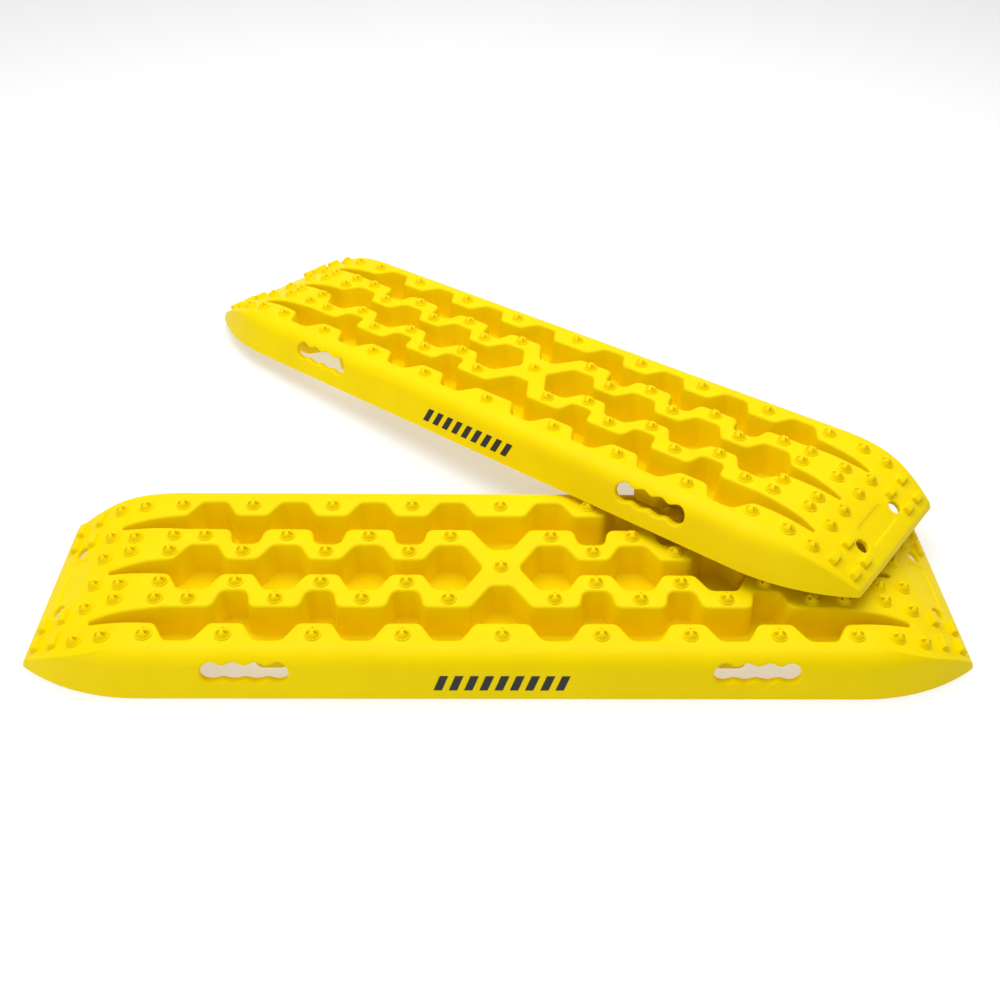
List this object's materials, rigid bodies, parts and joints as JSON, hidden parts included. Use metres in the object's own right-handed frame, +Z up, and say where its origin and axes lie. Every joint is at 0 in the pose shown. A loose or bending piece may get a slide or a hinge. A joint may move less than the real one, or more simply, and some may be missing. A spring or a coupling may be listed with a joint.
{
  "type": "traction board pair",
  "caption": "Two long ribbed plastic traction boards with ramped ends, grip studs, hand slots and leash holes, one lying flat and one resting across it.",
  "frame": {"origin": "on the ground, under the centre of the pair's overall box", "axes": "+X along the lower board, +Y from the lower board towards the upper board's far end, +Z up"},
  "size_m": [1.065, 0.9142, 0.124],
  "materials": {
    "moulded_plastic": "satin injection-moulded polymer, bright yellow",
    "print_ink": "black screen-printed ink"
  },
  "bodies": {
    "lower_board": {"lower_centre_cross": "moulded_plastic", "lower_centre_stud": "moulded_plastic", "lower_front_channel_floor": "moulded_plastic", "lower_front_handle_left": "moulded_plastic", "lower_front_handle_right": "moulded_plastic", "lower_front_rail_left": "moulded_plastic", "lower_front_rail_right": "moulded_plastic", "lower_front_rail_studs": "moulded_plastic", "lower_front_rib_left": "moulded_plastic", "lower_front_rib_right": "moulded_plastic", "lower_front_rib_studs": "moulded_plastic", "lower_middle_channel_floors": "moulded_plastic", "lower_print_mark": "print_ink", "lower_ramp_cleats_left": "moulded_plastic", "lower_ramp_cleats_right": "moulded_plastic", "lower_ramp_left": "moulded_plastic", "lower_ramp_right": "moulded_plastic", "lower_ramp_studs_left": "moulded_plastic", "lower_ramp_studs_right": "moulded_plastic", "lower_rear_channel_floor": "moulded_plastic", "lower_rear_handle_left": "moulded_plastic", "lower_rear_handle_right": "moulded_plastic", "lower_rear_rail_left": "moulded_plastic", "lower_rear_rail_right": "moulded_plastic", "lower_rear_rail_studs": "moulded_plastic", "lower_rear_rib_left": "moulded_plastic", "lower_rear_rib_right": "moulded_plastic", "lower_rear_rib_studs": "moulded_plastic"},
    "upper_board": {"upper_centre_cross": "moulded_plastic", "upper_centre_stud": "moulded_plastic", "upper_front_channel_floor": "moulded_plastic", "upper_front_handle_left": "moulded_plastic", "upper_front_handle_right": "moulded_plastic", "upper_front_rail_left": "moulded_plastic", "upper_front_rail_right": "moulded_plastic", "upper_front_rail_studs": "moulded_plastic", "upper_front_rib_left": "moulded_plastic", "upper_front_rib_right": "moulded_plastic", "upper_front_rib_studs": "moulded_plastic", "upper_middle_channel_floors": "moulded_plastic", "upper_print_mark": "print_ink", "upper_ramp_cleats_left": "moulded_plastic", "upper_ramp_cleats_right": "moulded_plastic", "upper_ramp_left": "moulded_plastic", "upper_ramp_right": "moulded_plastic", "upper_ramp_studs_left": "moulded_plastic", "upper_ramp_studs_right": "moulded_plastic", "upper_rear_channel_floor": "moulded_plastic", "upper_rear_handle_left": "moulded_plastic", "upper_rear_handle_right": "moulded_plastic", "upper_rear_rail_left": "moulded_plastic", "upper_rear_rail_right": "moulded_plastic", "upper_rear_rail_studs": "moulded_plastic", "upper_rear_rib_left": "moulded_plastic", "upper_rear_rib_right": "moulded_plastic", "upper_rear_rib_studs": "moulded_plastic"}
  },
  "joints": [
    {"name": "upper_lift", "type": "slide", "parent": "lower_board", "child": "upper_board", "axis": [0, 0, 1], "range_m": [0, 0.25]}
  ]
}
